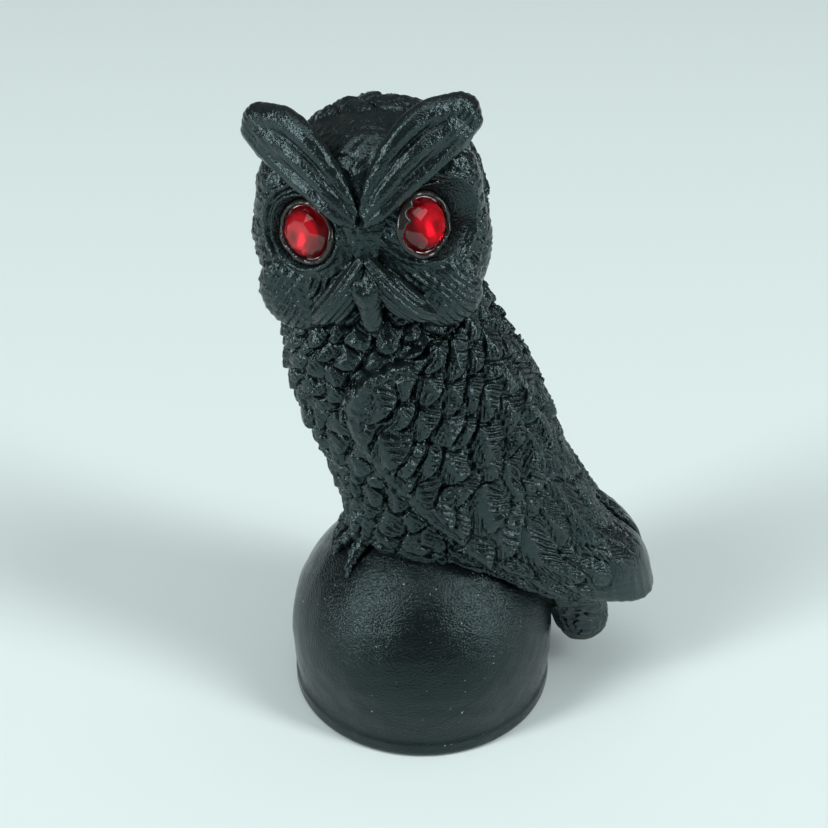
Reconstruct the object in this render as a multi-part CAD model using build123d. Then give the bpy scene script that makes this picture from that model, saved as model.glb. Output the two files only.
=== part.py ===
# Horned-owl figurine perched on a domed stand, with faceted red stone eyes.
# Millimetres.  The dome rests on Z = 0 and is centred on the Z axis; the owl's
# face looks towards -Y.  The bird itself is laid out facing +X with its left
# side towards +Y, and its head is laid out facing -Y with the eyes' midpoint
# near the origin; both are then turned into place.
import os

from build123d import *

# ---- domed stand
DOME_RADIUS = 21.0
DOME_CENTRE_HEIGHT = 10.6
RESTING_RADIUS = 20.8
FOOT_BAND_HEIGHT = 2.6
FOOT_BAND_PROUD = 0.3
BASE_EDGE_ROUND = 0.6

# ---- how the bird and its head are set on the stand
BODY_TURN = 195.0
HEAD_CENTRE = (-5.9, -1.75, 84.0)
HEAD_TILT = -6.0

# ---- trunk: (height, breast, back, half width), sections up from the dome
TRUNK_SECTIONS = [
    (19.5, -15.0, -34.4, 7.4),
    (25.0, -3.0, -33.0, 9.0),
    (31.0, 10.5, -28.0, 10.2),
    (38.0, 12.4, -23.3, 11.0),
    (46.0, 15.6, -19.0, 11.6),
    (54.0, 18.6, -16.4, 12.2),
    (62.0, 20.3, -12.9, 12.4),
    (69.0, 19.6, -8.4, 11.8),
    (77.0, 17.0, -4.2, 10.0),
]

# ---- wings
WING_THICKNESS = 2.2
WING_INNER_EDGE = 2.2
WING_TIP = (-37.4, 18.2)
SHOULDER_TOP = (-6.0, 71.0)
WING_FRONT_EDGE = [(8.0, 65.4), (11.8, 61.0), (11.0, 55.0), (8.4, 50.4), (1.9, 40.5), (-7.1, 31.3)]
WING_LOWER_EDGE = [(-14.2, 23.8), (-20.6, 21.6), (-28.0, 19.8)]
WING_BACK_REACH = 3.0
WING_SLAB = 30.0

# ---- tail
TAIL_ROOT = (-22.5, 0.0, 20.5)
TAIL_ROOT_RADIUS = 6.4
TAIL_TIP = (-26.4, 0.0, 9.8)
TAIL_TIP_RADIUS = 4.3

# ---- feet: toe tips and knuckles in the bird's own layout
ANKLE = (7.0, 3.2, 31.0)
TOE_TIPS = [(12.6, 7.2, 26.4), (14.0, 1.6, 26.2)]
TOE_KNUCKLE_RADIUS = 2.0
TOE_TIP_RADIUS = 0.7

# ---- skull and facial discs, in the head's own layout
HEAD_BLOCK = 40.0
SKULL_CENTRE = (0.0, 2.6, 0.4)
SKULL_RADIUS = 14.0
LEFT_EYE_CENTRE = (7.4, -9.9, 1.95)
RIGHT_EYE_CENTRE = (-7.6, -9.9, 1.5)
LEFT_EYE_SPLAY = 50.0
RIGHT_EYE_SPLAY = 26.0
EYE_LIFT = 12.0
DISC_CENTRE = (8.2, -6.4, -2.2)
DISC_RADII = (9.2, 4.6, 11.2)
DISC_SPLAY = 27.0

# ---- brow plumes and beak, in the head's own layout
BROW_ROOT = (1.6, -10.8, 6.2)
BROW_ROOT_RADIUS = 2.2
BROW_TIP = (12.4, -4.8, 13.4)
BROW_TIP_RADIUS = 3.1
CREST_ROOT = (3.4, -8.6, 7.8)
CREST_TIP = (9.6, -3.0, 14.8)
CREST_TIP_RADIUS = 2.7
BEAK_ROOT = (0.0, -10.6, -1.6)
BEAK_ROOT_RADIUS = 2.2
BEAK_TIP = (0.0, -12.2, -11.8)
BEAK_TIP_RADIUS = 1.1

# ---- eye stones
STONE_RADIUS = 3.6
STONE_HEIGHT = 2.7
GIRDLE_HEIGHT = 0.35
CROWN_FACETS = 8
LOWER_CROWN_SLOPE = 32.0
UPPER_CROWN_SLOPE = 52.0
UPPER_CROWN_FOOT = 4.7
FOIL_THICKNESS = 0.12
FOIL_RADIUS = 3.45
GLUE_BED = 0.3
GLUE_RIM_WIDTH = 0.55
GLUE_RIM_HEIGHT = 0.7
GLUE_RIM_ROUND = 0.44


def rounded_rod(start, start_radius, end, end_radius):
    """A tapering rod with ball ends."""
    a, b = Vector(*start), Vector(*end)
    run = b - a
    lean = (start_radius - end_radius) / run.length
    side = (1 - lean**2) ** 0.5
    profile = Polyline(
        (0, 0),
        (start_radius * side, start_radius * lean),
        (end_radius * side, run.length + end_radius * lean),
        (0, run.length),
        close=True,
    )
    cone = revolve(make_face(Plane.XZ * profile), Axis.Z)
    shape = cone + Sphere(start_radius) + Pos(0, 0, run.length) * Sphere(end_radius)
    return Plane(origin=a, z_dir=run) * shape


def fan(root, root_radius, tips, tip_radius):
    """Rounded rods spreading from one root to several tips."""
    first, *others = [rounded_rod(root, root_radius, tip, tip_radius) for tip in tips]
    return first.fuse(*others)


def trunk(swell=0.0):
    """The bird's trunk, or a copy of it grown outwards by `swell`."""
    rings = []
    for height, breast, back, half_width in TRUNK_SECTIONS:
        middle = (breast + back) / 2
        reach = (breast - back) / 2 + swell
        rings.append(Pos(middle, 0, height) * Ellipse(reach, half_width + swell))
    return loft(rings)


def carve(shape, *neighbours):
    """Cut the neighbours out of a shape and keep its main body."""
    for neighbour in neighbours:
        shape = shape - neighbour
    return max(shape.solids(), key=lambda body: body.volume)


# ---- domed stand
stand_profile = Polyline(
    (0, 0),
    (RESTING_RADIUS - BASE_EDGE_ROUND, 0),
    (RESTING_RADIUS, BASE_EDGE_ROUND),
    (RESTING_RADIUS, FOOT_BAND_HEIGHT),
    (RESTING_RADIUS - FOOT_BAND_PROUD, FOOT_BAND_HEIGHT + FOOT_BAND_PROUD),
    (DOME_RADIUS, DOME_CENTRE_HEIGHT),
)
crown_arc = CenterArc((0, DOME_CENTRE_HEIGHT), DOME_RADIUS, 0, 90)
centre_line = Line((0, DOME_CENTRE_HEIGHT + DOME_RADIUS), (0, 0))
stand_face = make_face(Plane.XZ * (stand_profile + crown_arc + centre_line))
dome_stand = revolve(stand_face, Axis.Z).solid()

# ---- head, in its own layout
head_place = Pos(*HEAD_CENTRE) * Rot(0, HEAD_TILT, 0)
sagittal = Plane.YZ
left_half = Pos(HEAD_BLOCK / 2, 0, 0) * Box(HEAD_BLOCK, 2 * HEAD_BLOCK, 2 * HEAD_BLOCK)

left_eye = Pos(*LEFT_EYE_CENTRE) * Rot(0, 0, LEFT_EYE_SPLAY) * Rot(90 - EYE_LIFT, 0, 0)
right_eye = Pos(*RIGHT_EYE_CENTRE) * Rot(0, 0, -RIGHT_EYE_SPLAY) * Rot(90 - EYE_LIFT, 0, 0)

# Each eye stone stands on its flat back with its table facing up.
girdle = extrude(RegularPolygon(STONE_RADIUS, 2 * CROWN_FACETS), amount=GIRDLE_HEIGHT)
lower_crown = extrude(
    Pos(0, 0, GIRDLE_HEIGHT) * RegularPolygon(STONE_RADIUS, 2 * CROWN_FACETS),
    amount=STONE_HEIGHT - GIRDLE_HEIGHT,
    taper=LOWER_CROWN_SLOPE,
)
upper_crown = extrude(
    Pos(0, 0, GIRDLE_HEIGHT) * RegularPolygon(UPPER_CROWN_FOOT, CROWN_FACETS),
    amount=STONE_HEIGHT - GIRDLE_HEIGHT,
    taper=UPPER_CROWN_SLOPE,
)
stone = girdle + (lower_crown & upper_crown)
foil = Pos(0, 0, -FOIL_THICKNESS / 2) * Cylinder(FOIL_RADIUS, FOIL_THICKNESS)

rim_radius = STONE_RADIUS + GLUE_RIM_WIDTH
glue_depth = FOIL_THICKNESS + GLUE_BED
glue_height = glue_depth + GLUE_RIM_HEIGHT
glue_block = Pos(0, 0, glue_height / 2 - glue_depth) * Cylinder(rim_radius, glue_height)
rim_edge = glue_block.edges().filter_by(GeomType.CIRCLE).sort_by(Axis.Z)[-1]
glue_block = fillet(rim_edge, GLUE_RIM_ROUND)
glue = carve(glue_block, stone, foil)
socket = Pos(0, 0, STONE_RADIUS - glue_depth) * Cylinder(rim_radius, 2 * STONE_RADIUS)
left_socket = left_eye * socket
right_socket = right_eye * socket

beak = rounded_rod(BEAK_ROOT, BEAK_ROOT_RADIUS, BEAK_TIP, BEAK_TIP_RADIUS)
brow_ridge = rounded_rod(BROW_ROOT, BROW_ROOT_RADIUS, BROW_TIP, BROW_TIP_RADIUS)
crest_ridge = rounded_rod(CREST_ROOT, BROW_ROOT_RADIUS, CREST_TIP, CREST_TIP_RADIUS)
brow_blank = (brow_ridge + crest_ridge) & left_half
left_brow = carve(brow_blank, left_socket, beak)
right_brow = carve(mirror(brow_blank, sagittal), right_socket, beak)

disc_turn = Pos(*DISC_CENTRE) * Rot(0, 0, DISC_SPLAY)
disc_blank = (disc_turn * scale(Sphere(1), by=DISC_RADII)) & left_half
left_disc = carve(disc_blank, left_socket, beak, left_brow)
right_disc = carve(mirror(disc_blank, sagittal), right_socket, beak, right_brow)

skull_blank = Pos(*SKULL_CENTRE) * Sphere(SKULL_RADIUS)
face = (beak, left_brow, right_brow, left_disc, right_disc)
skull = carve(skull_blank, *face, left_socket, right_socket)

head_parts = {
    "skull": skull,
    "beak": beak.solid(),
    "left_facial_disc": left_disc,
    "right_facial_disc": right_disc,
    "left_brow_plume": left_brow,
    "right_brow_plume": right_brow,
    "left_eye_stone": left_eye * stone,
    "right_eye_stone": right_eye * stone,
    "left_eye_foil": left_eye * foil,
    "right_eye_foil": right_eye * foil,
    "left_eye_glue": left_eye * glue,
    "right_eye_glue": right_eye * glue,
}
head_parts = {name: head_place * shape for name, shape in head_parts.items()}

# ---- bird, laid out facing +X
body_place = Rot(0, 0, BODY_TURN)
midplane = Plane.XZ
stand_in_layout = body_place.inverse() * dome_stand
head_block = [body_place.inverse() * shape for shape in head_parts.values()]

trunk_blank = trunk()
wing_blank = trunk(WING_THICKNESS)

wing_edge = Polyline(SHOULDER_TOP, *WING_FRONT_EDGE, *WING_LOWER_EDGE, WING_TIP)
back_line = Polyline(
    WING_TIP,
    (WING_TIP[0] - WING_BACK_REACH, WING_TIP[1] + WING_BACK_REACH),
    (WING_TIP[0] - WING_BACK_REACH, SHOULDER_TOP[1]),
    SHOULDER_TOP,
)
wing_outline = make_face(Plane.XZ * (wing_edge + back_line))
wing_slab = Pos(0, WING_INNER_EDGE, 0) * extrude(wing_outline, amount=WING_SLAB, dir=(0, 1, 0))
left_wing = carve(wing_blank & wing_slab, trunk_blank, stand_in_layout, *head_block)
right_wing = mirror(wing_blank & wing_slab, midplane)
right_wing = carve(right_wing, trunk_blank, stand_in_layout, *head_block)

tail_blank = rounded_rod(TAIL_ROOT, TAIL_ROOT_RADIUS, TAIL_TIP, TAIL_TIP_RADIUS)

toes = fan(ANKLE, TOE_KNUCKLE_RADIUS, TOE_TIPS, TOE_TIP_RADIUS)
left_foot = carve(toes, stand_in_layout)
right_foot = mirror(left_foot, midplane)

tail = carve(tail_blank, stand_in_layout, left_wing, right_wing)
body = carve(trunk_blank, stand_in_layout, left_foot, right_foot, tail, *head_block)

bird_parts = {
    "trunk": body,
    "left_wing": left_wing,
    "right_wing": right_wing,
    "tail": tail,
    "left_foot": left_foot,
    "right_foot": right_foot,
}
bird_parts = {name: body_place * shape for name, shape in bird_parts.items()}

# ---- one STEP file for each piece
os.makedirs("parts", exist_ok=True)
for name, shape in {"dome_stand": dome_stand, **bird_parts, **head_parts}.items():
    export_step(shape, f"parts/{name}.step")
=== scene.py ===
import math

import bmesh
import bpy
import numpy as np
from mathutils import Matrix, Vector


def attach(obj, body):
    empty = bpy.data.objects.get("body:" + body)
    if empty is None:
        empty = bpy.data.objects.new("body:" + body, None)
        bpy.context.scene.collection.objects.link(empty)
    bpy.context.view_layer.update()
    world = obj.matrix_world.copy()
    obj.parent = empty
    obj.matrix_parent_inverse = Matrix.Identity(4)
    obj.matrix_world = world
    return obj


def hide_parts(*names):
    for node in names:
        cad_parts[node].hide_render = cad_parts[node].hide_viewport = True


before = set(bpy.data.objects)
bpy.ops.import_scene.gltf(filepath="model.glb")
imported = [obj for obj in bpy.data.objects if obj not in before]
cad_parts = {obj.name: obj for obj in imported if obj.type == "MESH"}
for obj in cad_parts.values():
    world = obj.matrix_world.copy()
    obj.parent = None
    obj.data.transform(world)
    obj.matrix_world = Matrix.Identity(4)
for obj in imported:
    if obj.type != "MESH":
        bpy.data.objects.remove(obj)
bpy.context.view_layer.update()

MM = 0.001

# ---------------------------------------------------------------- sizes, in millimetres
DOME_RADIUS = 21.0
DOME_CENTRE = np.array([0.0, 0.0, 10.6])
FOOT_BAND_RADIUS = 20.8
FOOT_BAND_TOP = 2.4
WALL_START_RADIUS = 20.56
WALL_START = 2.9

BODY_TURN = math.radians(15.0)
HEAD_CENTRE = np.array([-5.9, -1.75, 84.0])
HEAD_TILT = math.radians(6.0)

# height, breast, back and half width of the trunk, from the dome up
TRUNK = [
    (18.0, -18.0, -35.2, 7.6),
    (25.0, -3.0, -32.8, 9.2),
    (31.0, 10.0, -26.9, 10.4),
    (38.0, 12.3, -22.9, 11.2),
    (46.0, 15.3, -18.7, 12.0),
    (54.0, 18.2, -16.2, 12.5),
    (62.0, 19.8, -12.1, 12.6),
    (69.0, 19.2, -7.9, 11.8),
    (77.0, 16.0, -3.2, 9.6),
]
WING_THICKNESS = 1.7
# forward and up, round the folded wing from its shoulder
WING_OUTLINE = [
    (-2.0, 69.5), (4.0, 67.4), (9.0, 65.2), (12.2, 61.0), (12.2, 56.0), (10.0, 51.5), (6.4, 46.4),
    (1.8, 40.2), (-3.6, 34.0), (-9.6, 28.2), (-15.5, 23.8), (-22.0, 20.6), (-29.0, 18.8),
    (-36.5, 17.4), (-40.0, 20.0), (-37.0, 34.0), (-28.0, 52.0), (-18.0, 70.0), (-9.0, 73.0),
]
# the thickened front edge of the wing: forward, up and half thickness
WING_RIM = [
    (4.0, 66.6, 0.7), (8.6, 64.6, 0.9), (11.0, 60.6, 1.0), (11.0, 55.6, 1.0),
    (8.8, 51.0, 0.9), (5.4, 46.2, 0.8), (1.0, 40.6, 0.7), (-4.2, 34.9, 0.4),
]

EYE_CENTRE = {1: np.array([7.4, -9.9, 1.95]), -1: np.array([-7.6, -9.9, 1.5])}
EYE_SPLAY = {1: math.radians(50.0), -1: math.radians(26.0)}
EYE_LIFT = math.radians(12.0)

# how far the trunk, feet and tail sink into the dome, and how far the wings stay clear of it
DOME_SINK = 0.3
WING_CLEARANCE = 0.2
# how far the wings lap the trunk, and the face and plumes lap the skull
TRUNK_LAP = 0.9
SKULL_LAP = 1.6
PLUME_LAP = 1.4
# half the gap between the left and right halves of the face
MIDLINE_GAP = 0.02

# radii that turn an angle round the trunk or the skull into a distance along its feathers
TRUNK_GIRTH = 13.0
SKULL_GIRTH = 14.0
FEATHER_RELIEF = 1.25
# where the wing's rows start, and where each kind of feather gives way to the next down the wing
SHOULDER = (8, 66)
SMALL_TO_MIDDLE = (21, 24)
MIDDLE_TO_LONG = (31, 34)
LONG_TO_SMOOTH = (50, 60)

BOX_MARGIN = 1.0

# spacing of the points that the sculpted skins are cut from
FINE = 0.26

# Feather coats: distance between rows, width and length of a feather, height and spacing of its
# barbs, how domed it is, where its tip starts to round off, how far the barbs slant back from the
# quill, and how deep the shadow line round it is cut.
WING_SMALL = dict(row=3.4, width=4.2, length=5.4, barb=0.22, barb_pitch=0.8, dome=0.7, cut=0.5)
WING_MIDDLE = dict(row=4.6, width=3.8, length=8.0, barb=0.22, barb_pitch=0.85, dome=0.5, blunt=0.6,
                   slant=1.6)
WING_LONG = dict(row=10.5, width=3.8, length=26.0, barb=0.24, barb_pitch=1.15, dome=0.3, blunt=0.8,
                 slant=2.2)
BREAST = dict(row=3.2, width=3.6, length=4.8, barb=0.12, barb_pitch=0.8, dome=0.9, blunt=0.25, cut=0.5)
BELLY = dict(row=3.8, width=2.6, length=7.5, barb=0.16, barb_pitch=0.8, dome=0.7, blunt=0.45, cut=0.5)
MANTLE = dict(row=4.0, width=4.6, length=6.6, barb=0.12, barb_pitch=0.85, dome=0.6, cut=0.2)
TAIL_BLADES = dict(row=8.0, width=2.6, length=17.0, barb=0.06, barb_pitch=1.0, dome=0.6, blunt=0.75,
                   slant=2.0, cut=0.15)
CROWN = dict(row=3.4, width=4.0, length=5.6, barb=0.12, barb_pitch=0.85, dome=0.5)
FACE_SPOKES = dict(row=2.2, width=1.7, length=3.4, barb=0.05, dome=0.7, blunt=0.3, cut=0.3)


# ---------------------------------------------------------------- solid forms
def unit(v):
    v = np.asarray(v, float)
    return v / np.linalg.norm(v)


def blend_min(a, b, k):
    h = np.clip(0.5 + 0.5 * (b - a) / k, 0, 1)
    return b + (a - b) * h - k * h * (1 - h)


def blend_max(a, b, k):
    return -blend_min(-a, -b, k)


def ramp(a, b, x):
    t = np.clip((x - a) / (b - a), 0, 1)
    return t * t * (3 - 2 * t)


def egg(p, centre, radii):
    """Distance to an ellipsoid."""
    q = p - np.asarray(centre, float)
    r = np.asarray(radii, float)
    k0 = np.sqrt(((q / r) ** 2).sum(1))
    k1 = np.sqrt(((q / r**2) ** 2).sum(1)) + 1e-9
    return k0 * (k0 - 1) / k1


def turned(p, centre, angle):
    """Points seen from a frame at `centre` turned about the upright axis."""
    q = p - np.asarray(centre, float)
    c, s = math.cos(angle), math.sin(angle)
    return np.stack([c * q[:, 0] + s * q[:, 1], -s * q[:, 0] + c * q[:, 1], q[:, 2]], 1)


def rod(p, a, b, ra, rb):
    """Distance to a tapering rod with ball ends."""
    a, b = np.asarray(a, float), np.asarray(b, float)
    ba = b - a
    h = np.clip((p - a) @ ba / (ba @ ba), 0, 1)
    return np.linalg.norm(p - a - h[:, None] * ba, axis=1) - (ra + (rb - ra) * h)


def bend(points, radii, steps=5):
    """A smooth path through a few points, with a radius along it."""
    pts = np.asarray(points, float)
    rad = np.asarray(radii, float)[:, None]
    full = np.hstack([pts, rad])
    ends = np.vstack([2 * full[0] - full[1], full, 2 * full[-1] - full[-2]])
    out = []
    for a, b, c, d in zip(ends, ends[1:], ends[2:], ends[3:]):
        for t in np.linspace(0, 1, steps, endpoint=False):
            square = 2 * a - 5 * b + 4 * c - d
            cube = 3 * b - a - 3 * c + d
            out.append(0.5 * (2 * b + (c - a) * t + square * t**2 + cube * t**3))
    out.append(full[-1])
    return np.array(out)


def tube(p, path):
    """Distance to a tube along a bent path."""
    d = np.full(len(p), 1e3)
    for a, b in zip(path, path[1:]):
        d = np.minimum(d, rod(p, a[:3], b[:3], a[3], b[3]))
    return d


WAVES = 7
WAVE_CREST = 3.2


def wander(p, size, seed):
    """Gentle unevenness between about -1 and 1, `size` mm across: a few crossing waves."""
    rng = np.random.default_rng(seed)
    total = np.zeros(len(p))
    for _ in range(WAVES):
        way = unit(rng.normal(size=3)) * 2 * np.pi / (size * rng.uniform(0.7, 1.5))
        total += np.sin(p @ way + rng.uniform(0, 6.28))
    return total / WAVE_CREST


def scatter(i, j, seed):
    """A fixed value between 0 and 1 for each feather of a row."""
    n = np.sin(i * 127.1 + j * 311.7 + seed * 74.7) * 43758.5453
    return n - np.floor(n)


def feathers(u, v, seed, row, width, length, barb, dome, barb_pitch=0.9, blunt=0.45, slant=1.2, cut=0.35):
    """Height of overlapping feathers that lie along u, each one over the next."""
    result = np.zeros(len(u))
    open_ = np.ones(len(u))
    rows = int(math.ceil(length / row)) + 1
    base = np.floor(u / row)
    for back in range(rows, -1, -1):
        i = base - back
        stagger = 0.5 * np.mod(i, 2)
        left = np.floor(v / width - stagger)
        for side in (0, 1):
            j = left + side
            s1, s2, s3 = scatter(i, j, seed), scatter(i, j, seed + 1), scatter(i, j, seed + 2)
            start = (i + 0.5 * (s1 - 0.5)) * row
            middle = (j + stagger + 0.32 * (s2 - 0.5)) * width
            a = (u - start) / (length * (0.88 + 0.24 * s3))
            b = (v - middle) / (width * (0.56 + 0.12 * s1))
            b = b + 0.25 * (s2 - 0.5) * a
            tip = np.maximum(a - blunt, 0) / (1 - blunt)
            reach = np.sqrt(b**2 + tip**2)
            cover = ramp(1.0, 0.9, reach) * (a > 0)
            sweep = a * length * 0.8 - np.abs(b) * width * 0.5 * slant
            comb = np.cos(2 * np.pi * sweep / barb_pitch + 5 * s2)
            comb = comb * ramp(0.06, 0.3, np.abs(b)) * ramp(1.0, 0.75, reach)
            quill = 0.6 * np.exp(-((b / 0.1) ** 2))
            height = (0.1 + 0.9 * a) * (1 - dome * b**2 - 0.3 * dome * tip**4) * (0.8 + 0.4 * s3)
            height = height + barb * (comb + quill)
            result += open_ * cover * height
            outline = np.exp(-(((reach - 1.06) / 0.09) ** 2)) * (a > 0.25) * (1 - cover)
            result -= open_ * cut * outline
            open_ *= 1 - cover
    return result


# ---------------------------------------------------------------- where the bird and its head sit
BIRD_FORWARD = np.array([-math.cos(BODY_TURN), -math.sin(BODY_TURN), 0.0])
BIRD_LEFT = np.array([math.sin(BODY_TURN), -math.cos(BODY_TURN), 0.0])
HEAD_X = np.array([math.cos(HEAD_TILT), 0.0, math.sin(HEAD_TILT)])
HEAD_Z = np.array([-math.sin(HEAD_TILT), 0.0, math.cos(HEAD_TILT)])


def in_bird(p):
    return np.stack([p @ BIRD_FORWARD, p @ BIRD_LEFT, p[:, 2]], 1)


def in_head(p):
    q = p - HEAD_CENTRE
    return np.stack([q @ HEAD_X, q[:, 1], q @ HEAD_Z], 1)


def from_bird(f, side, z):
    return f * BIRD_FORWARD + side * BIRD_LEFT + np.array([0, 0, z])


def from_head(x, y, z):
    return HEAD_CENTRE + x * HEAD_X + np.array([0, y, 0]) + z * HEAD_Z


# ---------------------------------------------------------------- trunk, wings, tail, feet
_levels = bend([(a, b, c) for a, b, c, _ in TRUNK], [d for *_, d in TRUNK], 12)


def girth(z):
    return [np.interp(z, _levels[:, 0], _levels[:, k]) for k in (1, 2, 3)]


def trunk_shell(b, swell=0.0):
    breast, back, half = girth(b[:, 2])
    mid, reach, half = (breast + back) / 2, (breast - back) / 2 + swell, half + swell
    power = 2.0 + 0.9 * ramp(44, 24, b[:, 2])
    x, y = np.abs(b[:, 0] - mid) / reach, np.abs(b[:, 1]) / half
    k0 = (x**power + y**power) ** (1 / power) + 1e-9
    slope = np.sqrt(((x / k0) ** (power - 1) / reach) ** 2 + ((y / k0) ** (power - 1) / half) ** 2) + 1e-9
    d = (k0 - 1) / slope * 0.9
    return blend_max(d, TRUNK[0][0] - swell - b[:, 2], 1.5)


def round_angle(b):
    """Angle round the trunk: 0 at the breast, a quarter turn at the owl's left."""
    breast, back, half = girth(b[:, 2])
    return np.arctan2(b[:, 1] / half, (b[:, 0] - (breast + back) / 2) / ((breast - back) / 2))


def dome_shell(p):
    return np.linalg.norm(p - DOME_CENTRE, axis=1) - DOME_RADIUS


def off_dome(p, d, sink=DOME_SINK):
    """Take away what lies deeper than `sink` inside the dome."""
    return np.maximum(d, -(dome_shell(p) + sink))


MAP_STEP = 0.5


def outline_field(points):
    """A small map, seen from the side, of the distance to a smooth closed outline."""
    closed = np.vstack([points, points[:1]])
    ring = bend(np.hstack([closed, np.zeros((len(closed), 1))]), np.zeros(len(closed)), 6)[:, :2]
    fs = np.arange(-42, 20, MAP_STEP)
    zs = np.arange(10, 82, MAP_STEP)
    gf, gz = np.meshgrid(fs, zs, indexing="ij")
    q = np.stack([gf.ravel(), gz.ravel()], 1)
    dist = np.full(len(q), 1e9)
    inside = np.zeros(len(q), bool)
    for a, b in zip(ring, ring[1:]):
        e, w = b - a, q - a
        t = np.clip(w @ e / (e @ e + 1e-12), 0, 1)
        dist = np.minimum(dist, np.linalg.norm(w - t[:, None] * e, axis=1))
        crosses = (a[1] > q[:, 1]) != (b[1] > q[:, 1])
        at = a[0] + (q[:, 1] - a[1]) * e[0] / (e[1] if e[1] else 1e-12)
        inside ^= crosses & (q[:, 0] < at)
    return fs, zs, np.where(inside, -dist, dist).reshape(gf.shape)


_wing_map = outline_field(np.array(WING_OUTLINE))


def read_map(field, f, z):
    fs, zs, values = field
    x = np.clip((f - fs[0]) / MAP_STEP, 0, len(fs) - 1.001)
    y = np.clip((z - zs[0]) / MAP_STEP, 0, len(zs) - 1.001)
    i, j = x.astype(int), y.astype(int)
    u, w = x - i, y - j
    return (values[i, j] * (1 - u) * (1 - w) + values[i + 1, j] * u * (1 - w)
            + values[i, j + 1] * (1 - u) * w + values[i + 1, j + 1] * u * w)


# the way the wing feathers run, forward and up
FLOW = unit([-0.68, -0.73])


def down_wing(b):
    """Distance from the shoulder along the run of the wing feathers."""
    return (b[:, 0] - SHOULDER[0]) * FLOW[0] + (b[:, 2] - SHOULDER[1]) * FLOW[1]


def wing_shell(b, side):
    """The folded wing on one side, before its feathers are cut."""
    y = b[:, 1] * side
    edge = read_map(_wing_map, b[:, 0], b[:, 2])
    body = np.stack([b[:, 0], y, b[:, 2]], 1)
    shell = trunk_shell(body, WING_THICKNESS)
    return blend_max(blend_max(shell, edge, 1.4), 1.6 - y, 0.6)


_rim = bend([(f, 0, z) for f, z, _ in WING_RIM], [half for *_, half in WING_RIM])


def rim_height(b):
    flat = np.stack([b[:, 0], np.zeros(len(b)), b[:, 2]], 1)
    return tube(flat, _rim)


def wing_relief(p, b, side):
    along = down_wing(b)
    around = np.abs(round_angle(b)) * TRUNK_GIRTH
    u = along + 0.6 * wander(p, 9, 11) + 0.2 * wander(p, 4, 14)
    v = around + 0.5 * wander(p, 8, 12) + 0.2 * wander(p, 4, 15) + 0.05 * along
    small = feathers(u, v, 1 + side, **WING_SMALL)
    middle = feathers(u, v, 5 + side, **WING_MIDDLE)
    long = feathers(u, v, 9 + side, **WING_LONG)
    past_small = ramp(*SMALL_TO_MIDDLE, along)
    past_middle = ramp(*MIDDLE_TO_LONG, along)
    smooth_tip = ramp(*LONG_TO_SMOOTH, along)
    long = 0.85 * long * (1 - smooth_tip) + 0.6 * smooth_tip
    h = small * (1 - past_small) + middle * past_small * (1 - past_middle) + long * past_middle
    rim = rim_height(b)
    lip = 0.55 * ramp(0.5, -0.5, rim) + 0.12 * wander(p, 1.6, 13)
    return h * ramp(-0.2, 0.6, rim) + lip * ramp(0.7, 0.0, rim)


def trunk_relief(p, b):
    angle = round_angle(b)
    front = ramp(2.3, 1.9, np.abs(angle))
    u = (76 - b[:, 2]) * 1.04 + 0.7 * wander(p, 8, 21) + 0.25 * wander(p, 4, 23)
    v = angle * TRUNK_GIRTH + 0.7 * wander(p, 7, 22) + 0.25 * wander(p, 4, 24)
    breast = feathers(u, v, 31, **BREAST)
    belly = feathers(u, v, 35, **BELLY)
    low = ramp(48, 42, b[:, 2])
    h = breast * (1 - low) + belly * low
    along = down_wing(b) + 0.55 * wander(p, 9, 11)
    mantle = feathers(along, v, 41, **MANTLE)
    return h * front + 0.9 * mantle * (1 - front)


def bare_of_wings(b):
    """1 where the trunk shows, falling to 0 where a wing covers it."""
    covered = np.minimum(wing_shell(b, 1), wing_shell(b, -1))
    return ramp(-0.8, 0.3, covered)


def trunk_form(p):
    b = in_bird(p)
    h = FEATHER_RELIEF * trunk_relief(p, b) * bare_of_wings(b) + 0.05 * wander(p, 1.5, 51)
    return off_dome(p, trunk_shell(b) + 0.45 - h)


def trunk_rough(p):
    return off_dome(p, trunk_shell(in_bird(p)))


def wing_form(side):
    def form(p):
        b = in_bird(p)
        h = FEATHER_RELIEF * wing_relief(p, b, side) + 0.04 * wander(p, 1.4, 52)
        d = np.maximum(wing_shell(b, side) + 0.4 - h, -(trunk_shell(b) + TRUNK_LAP))
        return off_dome(p, d, -WING_CLEARANCE)

    def rough(p):
        b = in_bird(p)
        return np.maximum(wing_shell(b, side), -(trunk_shell(b) + TRUNK_LAP))

    return rough, form


_tail_path = bend([(-20.0, 0, 24.0), (-23.8, 0, 17.0), (-26.3, 0, 9.7)], [5.6, 5.0, 4.3], 6)


def tail_shell(b):
    flat = b * np.array([1.0, 0.86, 1.0])
    return tube(flat, _tail_path)


def tail_form(p):
    b = in_bird(p)
    v = b[:, 1]
    along = 27 - b[:, 2]
    blades = feathers(along, v + 1.2, 61, **TAIL_BLADES)
    streaks = 0.11 * np.cos(2 * np.pi * (v + 0.3 * wander(p, 6, 62)) / 0.9)
    return off_dome(p, tail_shell(b) + 0.3 - 0.8 * blades - streaks - 0.05 * wander(p, 1.5, 53))


def tail_rough(p):
    return off_dome(p, tail_shell(in_bird(p)))


# outer and inner toe, from the foot to the claw
TOE_RADII = [1.4, 1.25, 0.85, 0.25]
_toes = [
    bend([(6.8, 3.4, 31.6), (9.2, 3.8, 30.6), (11.2, 5.4, 28.6), (12.6, 7.2, 26.2)], TOE_RADII),
    bend([(6.8, 2.6, 31.6), (10.2, 1.8, 30.5), (12.8, 1.5, 28.4), (14.0, 1.4, 26.2)], TOE_RADII),
]


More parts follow.
